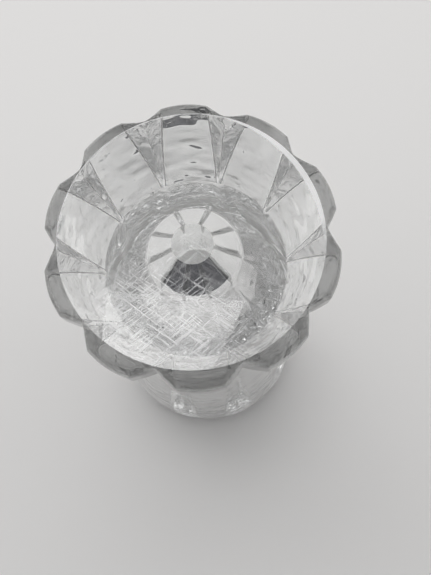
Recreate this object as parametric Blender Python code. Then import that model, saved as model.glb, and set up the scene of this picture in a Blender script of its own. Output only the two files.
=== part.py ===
"""Mixing glass with a heavy ten-lobed foot, standing upside down on its mouth.

The mouth's lip rests on z = 0 and the flat underside of the foot faces up.
Two pieces of glass: a pressed foot, and a bowl whose narrow end sits in the
foot's socket. Everything is in metres. A drop is a distance below the foot's
flat underside, so a point's height is HEIGHT - drop.
"""

import math

import bmesh
import bpy

for old in list(bpy.data.objects):
    bpy.data.objects.remove(old, do_unlink=True)

HEIGHT = 0.165
LOBES = 10

# Foot
FOOT_RADIUS = 0.0376          # flat underside, out to the bottoms of the notches
LOBE_DEPTH = 0.0042           # how far a lobe stands out from the notches
LOBE_TOP_SHARE = 0.52         # share of the pitch that is a lobe's outer face
LOBE_CROWN = 0.0004           # the outer face's bulge
NOTCH_END = 0.03              # share of the pitch that each side of a notch still takes at the waist
EDGE_ROUND = 0.0007           # worn edge around the underside
SHOULDER_DROP = 0.0050        # height over which a lobe reaches its full depth
BAND_HEIGHT = 0.0100          # from the underside to where the foot starts to narrow
FOOT_HEIGHT = 0.0460          # from the underside to the joint with the bowl
WAIST_WALL = 0.0067           # the foot's glass around the socket, at that joint

# Bowl
BASE_GLASS = 0.0105           # from the foot's underside to the end of the bowl's inside
CAP_RADIUS = 0.0061           # the shallow round cap at that end
CAP_SAG = 0.0010              # how far the cap bulges
CONE_RADIUS = 0.0142          # where the cone around the cap meets the wall
CONE_HEIGHT = 0.0125
CONE_BLEND = 0.0012           # how softly they meet
WALL_CURVE = 1.1              # 1 widens the inside quickly, a higher value later
MOUTH_RADIUS = 0.0430         # outside, at the lip
MOUTH_WALL = 0.0034
LIP_FLAT = 0.0014             # width of the flat ring that the lip rests on
SOCKET_WALL = 0.0026          # the bowl's wall where it sits in the foot
FLUTE_DEPTH = 0.0012
FLUTE_MARGIN = 0.0120         # plain band between the flutes and the lip
FLUTE_NARROW = 0.16           # a flute's width at the waist, as a share of the pitch
FLUTE_WIDE = 0.62             # and near the mouth

JOINT_GAP = 0.0003            # between the two pieces of glass

FLANK_SHARE = (1.0 - LOBE_TOP_SHARE) / 2.0
FIRST_NOTCH = -math.pi / 2.0 - math.pi / LOBES   # so that a lobe faces -Y


def lobe_places():
    """The lobe's number and the share of it for each point around a ring."""
    top = [FLANK_SHARE + LOBE_TOP_SHARE * part for part in (0.12, 0.5, 0.88)]
    shares = [0.0, FLANK_SHARE / 2.0, FLANK_SHARE, *top, 1.0 - FLANK_SHARE, 1.0 - FLANK_SHARE / 2.0]
    return [(lobe, share) for lobe in range(LOBES) for share in shares]


PLACES = lobe_places()


def lobe_angle(lobe, share, flank):
    """Where a point lies around a ring whose notches' sides each take a flank of the pitch."""
    from_notch = min(share, 1.0 - share)
    if from_notch < FLANK_SHARE:
        moved = from_notch * flank / FLANK_SHARE
    else:
        moved = flank + (from_notch - FLANK_SHARE) * (0.5 - flank) / (0.5 - FLANK_SHARE)
    part = moved if share < 0.5 else 1.0 - moved
    return FIRST_NOTCH + (lobe + part) * 2.0 * math.pi / LOBES


def lobe_shape(share):
    """0 in a notch, 1 at a lobe's corners, a little more in its middle."""
    from_notch = min(share, 1.0 - share)
    if from_notch < FLANK_SHARE:
        return from_notch / FLANK_SHARE
    across = (from_notch - FLANK_SHARE) / (0.5 - FLANK_SHARE)
    return 1.0 + LOBE_CROWN / LOBE_DEPTH * math.sin(across * math.pi / 2.0)


def flute_shape(share, width):
    """1 along the middle of a flute, falling to 0 at its two edges."""
    from_middle = min(share, 1.0 - share)
    return max(0.0, math.cos(min(1.0, from_middle / (width / 2.0)) * math.pi / 2.0))


def smooth_min(first, second, blend):
    mix = max(0.0, min(1.0, 0.5 + 0.5 * (second - first) / blend))
    return second + (first - second) * mix - blend * mix * (1.0 - mix)


def inside_radius(drop):
    """The bowl's inside: a shallow cap, a cone around it, then the curved wall."""
    deep = max(0.0, drop - BASE_GLASS)
    cap = CAP_RADIUS * math.sqrt(deep / CAP_SAG)
    cone = CAP_RADIUS + (CONE_RADIUS - CAP_RADIUS) * (deep - CAP_SAG) / CONE_HEIGHT
    wall_height = HEIGHT - BASE_GLASS - CAP_SAG - CONE_HEIGHT
    share = max(0.0, deep - CAP_SAG - CONE_HEIGHT) / wall_height
    spread = math.sin(min(1.0, share) * math.pi / 2.0) ** WALL_CURVE
    wall = CONE_RADIUS + (MOUTH_RADIUS - MOUTH_WALL - CONE_RADIUS) * spread
    return min(cap, smooth_min(cone, wall, CONE_BLEND))


WAIST_RADIUS = inside_radius(FOOT_HEIGHT) + SOCKET_WALL + JOINT_GAP + WAIST_WALL


def outside_radius(drop):
    """The bowl's outside, from the joint to the mouth."""
    share = max(0.0, min(1.0, (drop - FOOT_HEIGHT) / (HEIGHT - FOOT_HEIGHT)))
    return WAIST_RADIUS + (MOUTH_RADIUS - WAIST_RADIUS) * math.sin(share * math.pi / 2.0) ** 1.5


def inside_profile(end_drop, steps):
    """(drop, radius) points down the bowl's inside: steps each on cap, cone and wall."""
    cone_start = BASE_GLASS + CAP_SAG
    cone_end = cone_start + CONE_HEIGHT
    parts = [i / steps for i in range(1, steps + 1)]
    drops = [BASE_GLASS + CAP_SAG * part ** 2 for part in parts]
    drops += [cone_start + CONE_HEIGHT * part for part in parts]
    drops += [cone_end + (end_drop - cone_end) * part ** 1.4 for part in parts]
    return [(drop, inside_radius(drop)) for drop in drops]


def socket_profile(distance, end_drop):
    """The inside moved out by a distance, from next to its end down to the joint."""
    points = []
    for drop, radius in inside_profile(end_drop, 4)[:-1]:
        step = 0.00005
        rise = (inside_radius(drop + step) - radius) / step
        length = math.hypot(1.0, rise)
        points.append((drop - distance * rise / length, radius + distance / length))
    points.append((end_drop, inside_radius(end_drop) + distance))
    return points


def ring(mesh, drop, radius_at, flank=FLANK_SHARE):
    """One closed row of points; radius_at gives a radius for a share of the lobe."""
    row = []
    for lobe, share in PLACES:
        angle = lobe_angle(lobe, share, flank)
        radius = radius_at(share)
        row.append(mesh.verts.new((radius * math.cos(angle), radius * math.sin(angle), HEIGHT - drop)))
    return row


def plain_ring(mesh, drop, radius):
    return ring(mesh, drop, lambda share: radius)


def close_body(mesh, rows, first_tip, last_tip):
    """Joins the rows in order and closes each end on a point on the axis."""
    start = mesh.verts.new((0.0, 0.0, HEIGHT - first_tip))
    end = mesh.verts.new((0.0, 0.0, HEIGHT - last_tip))
    for i in range(len(PLACES)):
        j = (i + 1) % len(PLACES)
        mesh.faces.new((start, rows[0][i], rows[0][j]))
        mesh.faces.new((end, rows[-1][j], rows[-1][i]))
        for upper, lower in zip(rows, rows[1:]):
            mesh.faces.new((upper[i], lower[i], lower[j], upper[j]))
    bmesh.ops.recalc_face_normals(mesh, faces=mesh.faces)


def foot_rows(mesh):
    """The foot from its flat underside, down over the lobes, and up into the socket."""
    rows = [plain_ring(mesh, 0.0, FOOT_RADIUS / 2.0), plain_ring(mesh, 0.0, FOOT_RADIUS - EDGE_ROUND)]

    def lobed(drop, notch, depth, flank=FLANK_SHARE):
        return ring(mesh, drop, lambda share: notch + depth * lobe_shape(share), flank)

    # a quarter-round shoulder from the worn edge out to the lobes
    lip = EDGE_ROUND * 0.4
    for step in range(1, 6):
        turn = step / 5.0 * math.pi / 2.0
        drop = lip + (SHOULDER_DROP - lip) * (1.0 - math.cos(turn))
        notch = FOOT_RADIUS - lip * (1.0 - math.sin(turn))
        rows.append(lobed(drop, notch, LOBE_DEPTH * math.sin(turn)))
    rows.append(lobed(BAND_HEIGHT, FOOT_RADIUS, LOBE_DEPTH))

    # the notches narrow and die out as the foot narrows to the waist
    for step in range(1, 7):
        share = step / 6.0
        drop = BAND_HEIGHT + (FOOT_HEIGHT - BAND_HEIGHT) * share
        notch = FOOT_RADIUS + (WAIST_RADIUS - FOOT_RADIUS) * share ** 0.9
        flank = FLANK_SHARE + (NOTCH_END - FLANK_SHARE) * share
        rows.append(lobed(drop, notch, LOBE_DEPTH * (1.0 - share), flank))

    for drop, radius in reversed(socket_profile(SOCKET_WALL + JOINT_GAP, FOOT_HEIGHT)):
        rows.append(plain_ring(mesh, drop, radius))
    return rows, BASE_GLASS - SOCKET_WALL - JOINT_GAP


def bowl_rows(mesh):
    """The bowl from its narrow end, down the outside to the lip, and up its inside."""
    joint = FOOT_HEIGHT + JOINT_GAP
    rows = [plain_ring(mesh, drop, radius) for drop, radius in socket_profile(SOCKET_WALL, joint)]
    rows.append(plain_ring(mesh, joint, WAIST_RADIUS))

    # the flutes widen from the waist and end in arches above the lip
    flute_end = HEIGHT - FLUTE_MARGIN
    for step in range(1, 11):
        share = step / 10.0
        drop = joint + (flute_end - joint) * share
        width = FLUTE_NARROW + (FLUTE_WIDE - FLUTE_NARROW) * share
        depth = FLUTE_DEPTH * math.sqrt(max(0.0, math.sin(share * math.pi)))
        radius = outside_radius(drop)
        rows.append(ring(
            mesh, drop,
            lambda share_round, r=radius, w=width, d=depth: r - d * flute_shape(share_round, w)))

    # the lip: a flat ring between two bevels
    bevel = (MOUTH_WALL - LIP_FLAT) / 2.0
    inner_mouth = MOUTH_RADIUS - MOUTH_WALL
    rows.append(plain_ring(mesh, HEIGHT - bevel, MOUTH_RADIUS))
    rows.append(plain_ring(mesh, HEIGHT - bevel * 0.3, MOUTH_RADIUS - bevel * 0.3))
    rows.append(plain_ring(mesh, HEIGHT, MOUTH_RADIUS - bevel))
    rows.append(plain_ring(mesh, HEIGHT, inner_mouth + bevel))
    rows.append(plain_ring(mesh, HEIGHT - bevel * 0.3, inner_mouth + bevel * 0.3))
    for drop, radius in reversed(inside_profile(HEIGHT - bevel, 6)):
        rows.append(plain_ring(mesh, drop, radius))
    return rows, BASE_GLASS - SOCKET_WALL, BASE_GLASS


def glass_material(name, colour, roughness):
    material = bpy.data.materials.new(name)
    material.use_nodes = True
    shader = material.node_tree.nodes["Principled BSDF"]
    shader.inputs["Base Color"].default_value = (*colour, 1.0)
    shader.inputs["Roughness"].default_value = roughness
    shader.inputs["Metallic"].default_value = 0.0
    shader.inputs["Transmission Weight"].default_value = 1.0
    shader.inputs["IOR"].default_value = 1.5
    return material


def add_object(name, mesh, material):
    data = bpy.data.meshes.new(name)
    mesh.to_mesh(data)
    mesh.free()
    data.shade_smooth()
    data.set_sharp_from_angle(angle=math.radians(24))
    data.materials.append(material)
    piece = bpy.data.objects.new(name, data)
    bpy.context.collection.objects.link(piece)
    return piece


def build_foot():
    mesh = bmesh.new()
    rows, socket_tip = foot_rows(mesh)
    close_body(mesh, rows, 0.0, socket_tip)
    return add_object("pressed_foot", mesh, glass_material("foot_glass", (0.93, 0.95, 0.94), 0.06))


def build_bowl():
    mesh = bmesh.new()
    rows, outer_tip, inner_tip = bowl_rows(mesh)
    close_body(mesh, rows, outer_tip, inner_tip)
    return add_object("bowl", mesh, glass_material("bowl_glass", (0.95, 0.96, 0.955), 0.03))


root = bpy.data.objects.new("mixing_glass", None)
bpy.context.collection.objects.link(root)
for piece in (build_foot(), build_bowl()):
    piece.parent = root
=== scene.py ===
"""Looks for the mixing glass: clear pressed glass, upside down on a pale table.

Both CAD pieces are replaced by finer glass of the same shape. The faces where
the bowl is fused into the foot let light straight through, so that the two
pieces look like the one block of glass that they are. A drop is a distance
below the foot's flat underside, which faces up.
"""

import math

import bmesh
import bpy
from mathutils import Matrix, Vector


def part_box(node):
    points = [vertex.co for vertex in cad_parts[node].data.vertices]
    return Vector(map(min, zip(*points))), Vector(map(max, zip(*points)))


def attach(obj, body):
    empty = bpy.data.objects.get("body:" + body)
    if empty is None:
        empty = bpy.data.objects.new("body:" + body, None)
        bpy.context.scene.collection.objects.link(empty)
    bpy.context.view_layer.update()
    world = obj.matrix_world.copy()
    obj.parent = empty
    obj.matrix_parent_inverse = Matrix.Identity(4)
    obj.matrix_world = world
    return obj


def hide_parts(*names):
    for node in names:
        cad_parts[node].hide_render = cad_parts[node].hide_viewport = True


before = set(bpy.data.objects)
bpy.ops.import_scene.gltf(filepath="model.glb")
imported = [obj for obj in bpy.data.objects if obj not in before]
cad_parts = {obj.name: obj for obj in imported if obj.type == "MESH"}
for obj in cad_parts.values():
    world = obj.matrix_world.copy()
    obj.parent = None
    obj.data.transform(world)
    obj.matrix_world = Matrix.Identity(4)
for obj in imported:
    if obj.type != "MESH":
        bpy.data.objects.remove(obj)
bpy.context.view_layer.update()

# ---------------------------------------------------------------- sizes
foot_low, foot_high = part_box("pressed_foot")
bowl_low, bowl_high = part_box("bowl")
HEIGHT = foot_high[2] - bowl_low[2]
FOOT_HEIGHT = foot_high[2] - foot_low[2]
MOUTH_RADIUS = (bowl_high[0] - bowl_low[0]) / 2.0
LOBE_TIP = (foot_high[1] - foot_low[1]) / 2.0

# what the frame's boxes don't give, as in the CAD
LOBES = 10
LOBE_DEPTH = 0.0042
LOBE_CROWN = 0.0004
LOBE_TOP_SHARE = 0.52
NOTCH_END = 0.03
FOOT_RADIUS = LOBE_TIP - LOBE_DEPTH - LOBE_CROWN
SHOULDER_DROP = 0.0050
BAND_HEIGHT = 0.0100
EDGE_ROUND = 0.0007
WAIST_WALL = 0.0067
BASE_GLASS = 0.0105
CAP_RADIUS = 0.0061
CAP_SAG = 0.0010
CONE_RADIUS = 0.0142
CONE_HEIGHT = 0.0125
CONE_BLEND = 0.0012
WALL_CURVE = 1.1
MOUTH_WALL = 0.0034
LIP_FLAT = 0.0014
SOCKET_WALL = 0.0026
JOINT_GAP = 0.0003
FLUTE_DEPTH = 0.0012
FLUTE_MARGIN = 0.0120
FLUTE_NARROW = 0.16
FLUTE_WIDE = 0.62
FIRST_NOTCH = -math.pi / 2.0 - math.pi / LOBES

EDGE_BLEND = 0.035
FLANK_SHARE = (1.0 - LOBE_TOP_SHARE) / 2.0
NOTCH_EDGE = 0.004
CORNER_EDGE = 0.009
GLASS, JOINT, UNDERSIDE_SLOT, BAND, FLANK, EDGE = 0, 1, 2, 3, 4, 5

# how many rows of faces each stretch of the surface has
FLAT_ROWS = 11
SHOULDER_ROWS = 12
BAND_ROWS = 4
TAPER_ROWS = 28
SOCKET_ROWS = 12
FLUTE_ROWS = 48
LIP_ROWS = 8
INSIDE_ROWS = 36


# ---------------------------------------------------------------- shape functions
def smooth_min(first, second, blend):
    mix = max(0.0, min(1.0, 0.5 + 0.5 * (second - first) / blend))
    return second + (first - second) * mix - blend * mix * (1.0 - mix)


def lobe_places():
    """The lobe's number and the share of it for each point of a ring, densest at the edges."""
    half = [0.0, 0.004, 0.012, 0.03, 0.07, 0.11]
    for offset in (-0.04, -0.018, -0.010, -0.004, 0.004, 0.010, 0.018, 0.05, 0.10, 0.15, 0.20):
        half.append(FLANK_SHARE + offset)
    half.append(0.48)
    shares = half + [1.0 - share for share in reversed(half[1:])]
    return [(lobe, share) for lobe in range(LOBES) for share in shares]


PLACES = lobe_places()


def lobe_angle(lobe, share, flank):
    """Where a point lies around a ring whose notches' sides each take a flank of the pitch."""
    from_notch = min(share, 1.0 - share)
    if from_notch < FLANK_SHARE:
        moved = from_notch * flank / FLANK_SHARE
    else:
        moved = flank + (from_notch - FLANK_SHARE) * (0.5 - flank) / (0.5 - FLANK_SHARE)
    part = moved if share < 0.5 else 1.0 - moved
    return FIRST_NOTCH + (lobe + part) * 2.0 * math.pi / LOBES


def lobe_shape(share):
    """0 in a notch, 1 at a lobe's corners, a little more in its middle."""
    from_notch = min(share, 1.0 - share)
    across = max(0.0, from_notch - FLANK_SHARE) / (0.5 - FLANK_SHARE)
    top = 1.0 + LOBE_CROWN / LOBE_DEPTH * math.sin(across * math.pi / 2.0)
    return min(top, smooth_min(from_notch / FLANK_SHARE, top, EDGE_BLEND))


def flute_shape(share, width):
    """1 along the middle of a flute, falling to 0 at its two edges."""
    from_middle = min(share, 1.0 - share)
    return max(0.0, math.cos(min(1.0, from_middle / (width / 2.0)) * math.pi / 2.0))


def inside_radius(drop):
    """The bowl's inside: a shallow cap, a cone around it, then the curved wall."""
    deep = max(0.0, drop - BASE_GLASS)
    cap = CAP_RADIUS * math.sqrt(deep / CAP_SAG)
    cone = CAP_RADIUS + (CONE_RADIUS - CAP_RADIUS) * (deep - CAP_SAG) / CONE_HEIGHT
    wall_height = HEIGHT - BASE_GLASS - CAP_SAG - CONE_HEIGHT
    share = max(0.0, deep - CAP_SAG - CONE_HEIGHT) / wall_height
    spread = math.sin(min(1.0, share) * math.pi / 2.0) ** WALL_CURVE
    wall = CONE_RADIUS + (MOUTH_RADIUS - MOUTH_WALL - CONE_RADIUS) * spread
    return min(cap, smooth_min(cone, wall, CONE_BLEND))


WAIST_RADIUS = inside_radius(FOOT_HEIGHT) + SOCKET_WALL + JOINT_GAP + WAIST_WALL


def outside_radius(drop):
    share = max(0.0, min(1.0, (drop - FOOT_HEIGHT) / (HEIGHT - FOOT_HEIGHT)))
    return WAIST_RADIUS + (MOUTH_RADIUS - WAIST_RADIUS) * math.sin(share * math.pi / 2.0) ** 1.5


def inside_profile(end_drop, steps):
    """(drop, radius) points down the bowl's inside: steps each on cap, cone and wall."""
    cone_start = BASE_GLASS + CAP_SAG
    cone_end = cone_start + CONE_HEIGHT
    parts = [i / steps for i in range(1, steps + 1)]
    drops = [BASE_GLASS + CAP_SAG * part ** 2 for part in parts]
    drops += [cone_start + CONE_HEIGHT * part for part in parts]
    drops += [cone_end + (end_drop - cone_end) * part ** 1.4 for part in parts]
    return [(drop, inside_radius(drop)) for drop in drops]


def socket_profile():
    """The inside moved out by the socket's wall, from its end down to the joint."""
    points = []
    for drop, radius in inside_profile(FOOT_HEIGHT, SOCKET_ROWS)[:-1]:
        step = 0.00005
        rise = (inside_radius(drop + step) - radius) / step
        length = math.hypot(1.0, rise)
        points.append((drop - SOCKET_WALL * rise / length, radius + SOCKET_WALL / length))
    points.append((FOOT_HEIGHT, inside_radius(FOOT_HEIGHT) + SOCKET_WALL))
    return points


# ---------------------------------------------------------------- mesh helpers
def ring(mesh, drop, radius_at, flank=FLANK_SHARE):
    """One closed row of points; radius_at gives a radius for a share of the lobe."""
    row = []
    for lobe, share in PLACES:
        angle = lobe_angle(lobe, share, flank)
        radius = radius_at(share)
        row.append(mesh.verts.new((radius * math.cos(angle), radius * math.sin(angle), HEIGHT - drop)))
    return row


def plain_ring(mesh, drop, radius):
    return ring(mesh, drop, lambda share: radius)


def tapered_slot(share):
    """The material slot at a share of a lobe, where the foot narrows to the waist."""
    from_notch = min(share, 1.0 - share)
    if from_notch < NOTCH_EDGE or abs(from_notch - FLANK_SHARE) < CORNER_EDGE:
        return EDGE
    return FLANK if from_notch < FLANK_SHARE else GLASS


def skin(mesh, rows, first_tip, last_tip, slots):
    """Joins the rows and closes both ends; slots gives each band's material slot."""
    start = mesh.verts.new((0.0, 0.0, HEIGHT - first_tip))
    end = mesh.verts.new((0.0, 0.0, HEIGHT - last_tip))
    for i in range(len(PLACES)):
        j = (i + 1) % len(PLACES)
        faces = [mesh.faces.new((start, rows[0][i], rows[0][j]))]
        for upper, lower in zip(rows, rows[1:]):
            faces.append(mesh.faces.new((upper[i], lower[i], lower[j], upper[j])))
        faces.append(mesh.faces.new((end, rows[-1][j], rows[-1][i])))
        share = (PLACES[i][1] + (PLACES[j][1] or 1.0)) / 2.0
        for face, slot in zip(faces, slots):
            face.material_index = tapered_slot(share) if slot == FLANK else slot
    bmesh.ops.recalc_face_normals(mesh, faces=mesh.faces)


def add_piece(name, mesh, materials, sharp_degrees):
    data = bpy.data.meshes.new(name)
    mesh.to_mesh(data)
    mesh.free()
    data.shade_smooth()
    data.set_sharp_from_angle(angle=math.radians(sharp_degrees))
    for material in materials:
        data.materials.append(material)
    piece = bpy.data.objects.new(name, data)
    bpy.context.collection.objects.link(piece)
    return piece


# ---------------------------------------------------------------- materials
# the underside's rim band: dulled, and whitened as a painted highlight
RIM_HIGHLIGHT_ANGLE = math.radians(28.0)
RIM_HIGHLIGHT_THIN = 0.0003
RIM_HIGHLIGHT_BROAD = 0.0022
RIM_HIGHLIGHT_FADE = 0.00025
RIM_HIGHLIGHT_RAGGED = 0.0006
MOST_SCRATCHED = (-0.007, -0.022)
SCRATCH_REACH = 0.026
# each layer's turn in degrees, scale, length and threshold
SCRATCH_LAYERS = (
    (38.0, 2200.0, 26.0, 0.585), (-42.0, 2300.0, 26.0, 0.595), (31.0, 2600.0, 20.0, 0.60),
    (-36.0, 2500.0, 22.0, 0.60), (50.0, 1800.0, 34.0, 0.65))
UNDERSIDE_COLOUR = (0.955, 0.963, 0.96)
# painted shade: the foot's clear glass is tinted darker than the bowl's, though both are one block of
# glass
PANEL_SHADED_TINT = (0.84, 0.848, 0.845)
BOWL_COLOUR = (0.975, 0.98, 0.978)
# painted shade: the foot's band and notch flanks are near-black glass, standing in for the dark
# surroundings they would show
BAND_PAINTED_SHADE = (0.23, 0.233, 0.23)
FLANK_PAINTED_SHADE = (0.20, 0.203, 0.20)
# white of the dulled scratches, and of the painted highlights on the edge strips and the underside's
# rim
DULL_AND_HIGHLIGHT_WHITE = (0.95, 0.95, 0.95)


def new_material(name):
    material = bpy.data.materials.new(name)
    material.use_nodes = True
    tree = material.node_tree
    return material, tree, tree.nodes["Principled BSDF"]


def set_glass(shader, colour):
    shader.inputs["Base Color"].default_value = (*colour, 1.0)
    shader.inputs["Roughness"].default_value = 0.0
    shader.inputs["IOR"].default_value = 1.5
    shader.inputs["Transmission Weight"].default_value = 1.0


def math_node(tree, operation, first, second):
    node = tree.nodes.new("ShaderNodeMath")
    node.operation = operation
    for socket, value in zip(node.inputs, (first, second)):
        if isinstance(value, (int, float)):
            socket.default_value = value
        else:
            tree.links.new(value, socket)
    return node.outputs[0]


def noise(tree, vector, scale, detail):
    node = tree.nodes.new("ShaderNodeTexNoise")
    node.inputs["Scale"].default_value = scale
    node.inputs["Detail"].default_value = detail
    tree.links.new(vector, node.inputs["Vector"])
    return node.outputs["Fac"]


def remap(tree, value, low, high, to_low=0.0, to_high=1.0):
    node = tree.nodes.new("ShaderNodeMapRange")
    node.inputs["From Min"].default_value = low
    node.inputs["From Max"].default_value = high
    node.inputs["To Min"].default_value = to_low
    node.inputs["To Max"].default_value = to_high
    tree.links.new(value, node.inputs["Value"])
    return node.outputs["Result"]


def object_space(tree, turn=0.0, stretch=(1.0, 1.0, 1.0)):
    coordinates = tree.nodes.new("ShaderNodeTexCoord")
    mapping = tree.nodes.new("ShaderNodeMapping")
    mapping.vector_type = "TEXTURE"
    mapping.inputs["Rotation"].default_value = (0.0, 0.0, math.radians(turn))
    mapping.inputs["Scale"].default_value = stretch
    tree.links.new(coordinates.outputs["Object"], mapping.inputs["Vector"])
    return mapping.outputs["Vector"]


def scratch_lines(tree, turn, scale, length, threshold):
    """Thin straight lines in one direction: noise drawn out along it and cut off high."""
    lines = noise(tree, object_space(tree, turn, (length, 1.0, 1.0)), scale, 1.0)
    return remap(tree, lines, threshold, threshold + 0.05)


def add_bump(tree, height, distance, normal_input):
    bump = tree.nodes.new("ShaderNodeBump")
    bump.inputs["Distance"].default_value = distance
    tree.links.new(height, bump.inputs["Height"])
    tree.links.new(bump.outputs["Normal"], normal_input)


def height_of(tree):
    split = tree.nodes.new("ShaderNodeSeparateXYZ")
    tree.links.new(object_space(tree), split.inputs["Vector"])
    return split.outputs["Z"]


def pressed_glass(name, colour, wave_scale, wave_height):
    """Clear glass of the given tint, with the waves of a pressing mould, and finer wrinkles from the
    waist down; the foot's tints are painted shade.
    """
    material, tree, shader = new_material(name)
    set_glass(shader, colour)
    waves = noise(tree, object_space(tree, 0.0, (1.0, 1.0, 0.6)), wave_scale, 1.0)
    waist = HEIGHT - FOOT_HEIGHT
    below = remap(tree, height_of(tree), waist + 0.009, waist + 0.002, 0.0, 0.5)
    wrinkles = math_node(tree, "MULTIPLY", noise(tree, object_space(tree), 260.0, 1.0), below)
    add_bump(tree, math_node(tree, "ADD", waves, wrinkles), wave_height, shader.inputs["Normal"])
    return material


def edge_highlight_glass(name):
    """The pressed edges between faces, fire-rounded on the glass: strips a little dull and whitened, a
    painted highlight for the light such edges catch.
    """
    material, tree, shader = new_material(name)
    set_glass(shader, DULL_AND_HIGHLIGHT_WHITE)
    shader.inputs["Roughness"].default_value = 0.35
    shader.inputs["Transmission Weight"].default_value = 0.6
    return material


def scratches(tree):
    """Crossed hairline scratches, densest round one place and patchy elsewhere: 0 to 1."""
    lines = None
    for turn, scale, length, threshold in SCRATCH_LAYERS:
        layer = scratch_lines(tree, turn, scale, length, threshold)
        lines = layer if lines is None else math_node(tree, "MAXIMUM", lines, layer)
    patches = remap(tree, noise(tree, object_space(tree), 60.0, 3.0), 0.36, 0.60, 0.25, 1.0)
    offset = tree.nodes.new("ShaderNodeVectorMath")
    offset.operation = "DISTANCE"
    offset.inputs[1].default_value = (*MOST_SCRATCHED, HEIGHT)
    tree.links.new(object_space(tree), offset.inputs[0])
    near = remap(tree, offset.outputs["Value"], SCRATCH_REACH * 0.4, SCRATCH_REACH, 1.0, 0.05)
    return math_node(tree, "MULTIPLY", lines, math_node(tree, "MULTIPLY", patches, near))


def rim_wear_and_highlight(tree):
    """The dulled edge of the underside, whitened as a painted highlight, broad on one side and thin on
    the other, and only on the half away from the camera: 0 to 1.
    """
    split = tree.nodes.new("ShaderNodeSeparateXYZ")
    tree.links.new(object_space(tree), split.inputs["Vector"])
    across, along = split.outputs["X"], split.outputs["Y"]
    squares = math_node(
        tree, "ADD", math_node(tree, "MULTIPLY", across, across),
        math_node(tree, "MULTIPLY", along, along))
    radius = math_node(tree, "SQRT", squares, 0.0)
    side = math_node(
        tree, "ADD", math_node(tree, "MULTIPLY", across, math.cos(RIM_HIGHLIGHT_ANGLE)),
        math_node(tree, "MULTIPLY", along, math.sin(RIM_HIGHLIGHT_ANGLE)))
    width = remap(tree, side, FOOT_RADIUS * 0.70, FOOT_RADIUS, RIM_HIGHLIGHT_THIN, RIM_HIGHLIGHT_BROAD)
    inner = math_node(tree, "SUBTRACT", FOOT_RADIUS - EDGE_ROUND, width)
    inside = math_node(tree, "SUBTRACT", radius, inner)
    ragged_noise = math_node(tree, "SUBTRACT", noise(tree, object_space(tree), 700.0, 3.0), 0.5)
    ragged = math_node(tree, "MULTIPLY", ragged_noise, RIM_HIGHLIGHT_RAGGED)
    edge = remap(tree, math_node(tree, "ADD", inside, ragged), 0.0, RIM_HIGHLIGHT_FADE)
    # the painted highlight stays on the half away from the camera
    half = remap(tree, along, -0.006, 0.004)
    return math_node(tree, "MULTIPLY", edge, half)


def underside_glass_with_rim_highlight(name, colour):
    """The underside: clear, with crossed scratches in the gloss and a dulled edge that is whitened as
    a painted highlight.
    """
    material, tree, shader = new_material(name)
    set_glass(shader, colour)
    lines = scratches(tree)
    rim_highlight = rim_wear_and_highlight(tree)
    shader.inputs["Coat Roughness"].default_value = 0.22
    shader.inputs["Coat IOR"].default_value = 1.8
    tree.links.new(lines, shader.inputs["Coat Weight"])
    # the rim band's whitening is a painted highlight; the scratches' whitening is their own dull white
    white = math_node(tree, "MAXIMUM", rim_highlight, math_node(tree, "MULTIPLY", lines, 0.65))
    tree.links.new(remap(tree, white, 0.0, 1.0, 1.0, 0.25), shader.inputs["Transmission Weight"])
    rim_roughness = remap(tree, rim_highlight, 0.0, 1.0, 0.0, 0.5)
    line_roughness = remap(tree, lines, 0.0, 1.0, 0.0, 0.30)
    roughness = math_node(tree, "MAXIMUM", rim_roughness, line_roughness)
    tree.links.new(roughness, shader.inputs["Roughness"])
    mix = tree.nodes.new("ShaderNodeMix")
    mix.data_type = "RGBA"
    mix.inputs["A"].default_value = (*colour, 1.0)
    mix.inputs["B"].default_value = (*DULL_AND_HIGHLIGHT_WHITE, 1.0)
    tree.links.new(white, mix.inputs["Factor"])
    tree.links.new(mix.outputs["Result"], shader.inputs["Base Color"])
    add_bump(tree, lines, 0.00004, shader.inputs["Coat Normal"])
    return material


def fused_joint():
    """Lets straight through what crosses the gap where the bowl is fused into the foot."""
    material = bpy.data.materials.new("fused_joint")
    material.use_nodes = True
    tree = material.node_tree
    tree.nodes.clear()
    through = tree.nodes.new("ShaderNodeBsdfTransparent")
    output = tree.nodes.new("ShaderNodeOutputMaterial")
    tree.links.new(through.outputs["BSDF"], output.inputs["Surface"])
    return material


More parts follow.
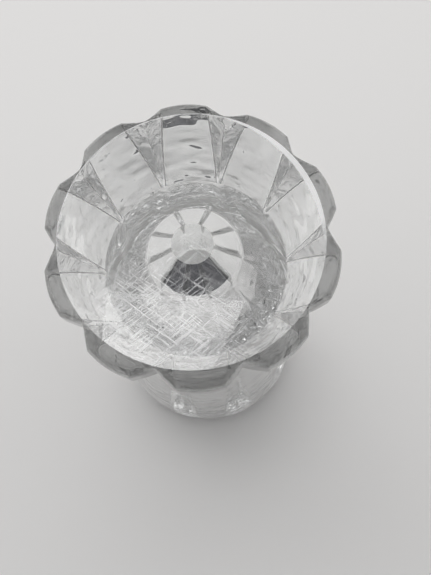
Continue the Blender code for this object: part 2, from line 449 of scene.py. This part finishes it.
# ---------------------------------------------------------------- the two pieces
def foot_rows(mesh):
    rows = []
    for step in range(1, FLAT_ROWS + 1):
        rows.append(plain_ring(mesh, 0.0, (FOOT_RADIUS - EDGE_ROUND) * step / FLAT_ROWS))
    flat = len(rows)

    def lobed(drop, notch, depth, flank=FLANK_SHARE):
        return ring(mesh, drop, lambda share: notch + depth * lobe_shape(share), flank)

    lip = EDGE_ROUND * 0.4
    for step in range(1, SHOULDER_ROWS + 1):
        turn = step / SHOULDER_ROWS * math.pi / 2.0
        drop = lip + (SHOULDER_DROP - lip) * (1.0 - math.cos(turn))
        notch = FOOT_RADIUS - lip * (1.0 - math.sin(turn))
        rows.append(lobed(drop, notch, LOBE_DEPTH * math.sin(turn)))
    for step in range(1, BAND_ROWS + 1):
        drop = SHOULDER_DROP + (BAND_HEIGHT - SHOULDER_DROP) * step / BAND_ROWS
        rows.append(lobed(drop, FOOT_RADIUS, LOBE_DEPTH))
    band = len(rows)
    for step in range(1, TAPER_ROWS + 1):
        share = step / TAPER_ROWS
        drop = BAND_HEIGHT + (FOOT_HEIGHT - BAND_HEIGHT) * share
        notch = FOOT_RADIUS + (WAIST_RADIUS - FOOT_RADIUS) * share ** 0.9
        flank = FLANK_SHARE + (NOTCH_END - FLANK_SHARE) * share
        rows.append(lobed(drop, notch, LOBE_DEPTH * (1.0 - share), flank))
    outside = len(rows)
    for drop, radius in reversed(socket_profile()):
        rows.append(plain_ring(mesh, drop, radius))
    slots = [UNDERSIDE_SLOT] * flat + [BAND] * (band - flat) + [FLANK] * (outside - band)
    slots += [JOINT] * (len(rows) + 1 - outside)
    return rows, BASE_GLASS - SOCKET_WALL, slots


def bowl_rows(mesh):
    rows = [plain_ring(mesh, drop, radius) for drop, radius in socket_profile()]
    rows.append(plain_ring(mesh, FOOT_HEIGHT, WAIST_RADIUS))
    joint = len(rows)

    flute_end = HEIGHT - FLUTE_MARGIN
    for step in range(1, FLUTE_ROWS + 1):
        share = step / FLUTE_ROWS
        drop = FOOT_HEIGHT + (flute_end - FOOT_HEIGHT) * share
        width = FLUTE_NARROW + (FLUTE_WIDE - FLUTE_NARROW) * share
        depth = FLUTE_DEPTH * math.sqrt(max(0.0, math.sin(share * math.pi)))
        radius = outside_radius(drop)
        rows.append(ring(
            mesh, drop,
            lambda share_round, r=radius, w=width, d=depth: r - d * flute_shape(share_round, w)))

    bevel = (MOUTH_WALL - LIP_FLAT) / 2.0
    inner_mouth = MOUTH_RADIUS - MOUTH_WALL
    for step in range(LIP_ROWS + 1):
        turn = step / LIP_ROWS * math.pi / 2.0
        rows.append(plain_ring(
            mesh, HEIGHT - bevel * (1.0 - math.sin(turn)),
            MOUTH_RADIUS - bevel * (1.0 - math.cos(turn))))
    for step in range(LIP_ROWS + 1):
        turn = step / LIP_ROWS * math.pi / 2.0
        rows.append(plain_ring(
            mesh, HEIGHT - bevel * (1.0 - math.cos(turn)),
            inner_mouth + bevel * (1.0 - math.sin(turn))))
    for drop, radius in reversed(inside_profile(HEIGHT - bevel, INSIDE_ROWS)[:-1]):
        rows.append(plain_ring(mesh, drop, radius))
    slots = [JOINT] * joint + [GLASS] * (len(rows) + 1 - joint)
    return rows, BASE_GLASS - SOCKET_WALL, BASE_GLASS, slots


def build_foot(joint_material):
    mesh = bmesh.new()
    rows, tip, slots = foot_rows(mesh)
    skin(mesh, rows, 0.0, tip, slots)
    materials = [
        # the foot's clear glass carries a painted shade, darker than the bowl's
        pressed_glass("foot_shaded_clear_glass", PANEL_SHADED_TINT, 80.0, 0.0012), joint_material,
        underside_glass_with_rim_highlight("foot_underside_scratches_and_rim_highlight", UNDERSIDE_COLOUR),
        # the band and flank glass are painted shade, tinted near-black
        pressed_glass("foot_band_painted_shade", BAND_PAINTED_SHADE, 60.0, 0.0001),
        pressed_glass("foot_flank_painted_shade", FLANK_PAINTED_SHADE, 90.0, 0.0006),
        # the edge strips are a painted highlight
        edge_highlight_glass("foot_edge_painted_highlight")]
    return add_piece("foot_glass_piece", mesh, materials, 10)


def build_bowl(joint_material):
    mesh = bmesh.new()
    rows, outer_tip, inner_tip, slots = bowl_rows(mesh)
    skin(mesh, rows, outer_tip, inner_tip, slots)
    materials = [pressed_glass("bowl_clear_glass", BOWL_COLOUR, 60.0, 0.00015), joint_material]
    return add_piece("bowl_glass_piece", mesh, materials, 30)


joint_material = fused_joint()
foot = build_foot(joint_material)
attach(foot, "root")
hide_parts("pressed_foot")
bowl = build_bowl(joint_material)
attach(bowl, "root")
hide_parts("bowl")


# ---------------------------------------------------------------- floor, light, camera
def flat_square(name, size, colour, roughness):
    """A square of one plain material, lying flat; size is half its side."""
    mesh = bmesh.new()
    bmesh.ops.create_grid(mesh, x_segments=1, y_segments=1, size=size)
    data = bpy.data.meshes.new(name)
    mesh.to_mesh(data)
    mesh.free()
    material, tree, shader = new_material(name + "_surface")
    shader.inputs["Base Color"].default_value = (*colour, 1.0)
    shader.inputs["Roughness"].default_value = roughness
    data.materials.append(material)
    square = bpy.data.objects.new(name, data)
    bpy.context.collection.objects.link(square)
    return square


def build_floor():
    floor = flat_square("table_top", 1.5, (0.82, 0.81, 0.80), 0.5)
    floor.location.z = bowl_low[2] - 0.0002
    return floor


build_floor()


def build_world():
    """A soft white room, dimmer on the camera's side and towards the horizon."""
    world = bpy.data.worlds.new("soft_room")
    bpy.context.scene.world = world
    world.use_nodes = True
    tree = world.node_tree
    coordinates = tree.nodes.new("ShaderNodeTexCoord")
    split = tree.nodes.new("ShaderNodeSeparateXYZ")
    tree.links.new(coordinates.outputs["Generated"], split.inputs["Vector"])
    background = tree.nodes["Background"]
    background.inputs["Color"].default_value = (1.0, 1.0, 1.0, 1.0)
    depth = remap(tree, split.outputs["Y"], -0.9, 0.4, 0.22, 0.93)
    horizon = remap(tree, split.outputs["Z"], 0.0, 0.45, 0.60, 1.0)
    tree.links.new(math_node(tree, "MULTIPLY", depth, horizon), background.inputs["Strength"])


def build_card(name, low, high, seen_in_glass):
    """A dark card on the camera's side: seen only in the glass, or only shading the table."""
    card = flat_square(name, 0.5, (0.03, 0.03, 0.04), 0.8)
    card.scale = (1.3, high - low, 1.0)
    card.rotation_euler.x = math.radians(90.0)
    card.location = (-0.05, -0.24, (low + high) / 2.0)
    card.visible_camera = False
    card.visible_glossy = seen_in_glass
    card.visible_transmission = seen_in_glass
    card.visible_diffuse = not seen_in_glass
    card.visible_shadow = not seen_in_glass
    return card


def build_ceiling_lamp():
    """A flat lamp with one slanting side, whose mirror image is the glare on the underside."""
    corners = [(-0.165, -0.10), (0.07, -0.10), (0.15, 0.10), (-0.165, 0.10)]
    data = bpy.data.meshes.new("ceiling_lamp")
    data.from_pydata([(x, y, 0.0) for x, y in corners], [], [(3, 2, 1, 0)])
    material, tree, shader = new_material("lamp_glow")
    shader.inputs["Base Color"].default_value = (0.0, 0.0, 0.0, 1.0)
    shader.inputs["Emission Color"].default_value = (1.0, 1.0, 1.0, 1.0)
    shader.inputs["Emission Strength"].default_value = 4.6
    data.materials.append(material)
    lamp = bpy.data.objects.new("ceiling_lamp", data)
    bpy.context.collection.objects.link(lamp)
    lamp.location = (-0.09, 0.175, 1.35)
    lamp.rotation_euler.z = math.radians(-8.0)
    return lamp


def build_window_light():
    """A large soft light behind the glass, which isn't mirrored in it."""
    light = bpy.data.lights.new("window_light", "AREA")
    light.shape = "RECTANGLE"
    light.size = 1.6
    light.size_y = 1.0
    light.energy = 7.0
    lamp = bpy.data.objects.new("window_light", light)
    bpy.context.collection.objects.link(lamp)
    lamp.location = (-0.25, 0.9, 1.4)
    lamp.rotation_euler = (math.radians(-32.0), math.radians(-10.0), 0.0)
    lamp.visible_glossy = False


def build_camera():
    """Looks steeply down at the foot from in front, close enough to hide the bowl."""
    lens = 38.2
    picture_height = 36.0
    tilt = math.radians(14.4)
    roll = math.radians(-3.9)
    disc_distance = 0.1665
    disc_right = -0.0067
    disc_up = 0.0143
    data = bpy.data.cameras.new("camera")
    data.sensor_fit = "VERTICAL"
    data.sensor_height = picture_height
    data.lens = lens
    data.clip_start = 0.005
    camera = bpy.data.objects.new("camera", data)
    bpy.context.collection.objects.link(camera)
    turn = Matrix.Rotation(tilt, 3, "X") @ Matrix.Rotation(roll, 3, "Z")
    disc_centre = Vector((0.0, 0.0, foot_high[2]))
    place = disc_centre - turn @ Vector((disc_right, disc_up, -disc_distance))
    camera.matrix_world = Matrix.Translation(place) @ turn.to_4x4()
    bpy.context.scene.camera = camera


build_world()
build_card("mirrored_card", 0.02, 0.52, True)
build_card("shading_card", 0.12, 0.52, False)
build_window_light()
build_ceiling_lamp()
build_camera()
bpy.context.scene.view_settings.view_transform = "Standard"

cycles = bpy.context.scene.cycles
cycles.max_bounces = 32
cycles.glossy_bounces = 32
cycles.transmission_bounces = 32
cycles.transparent_max_bounces = 64
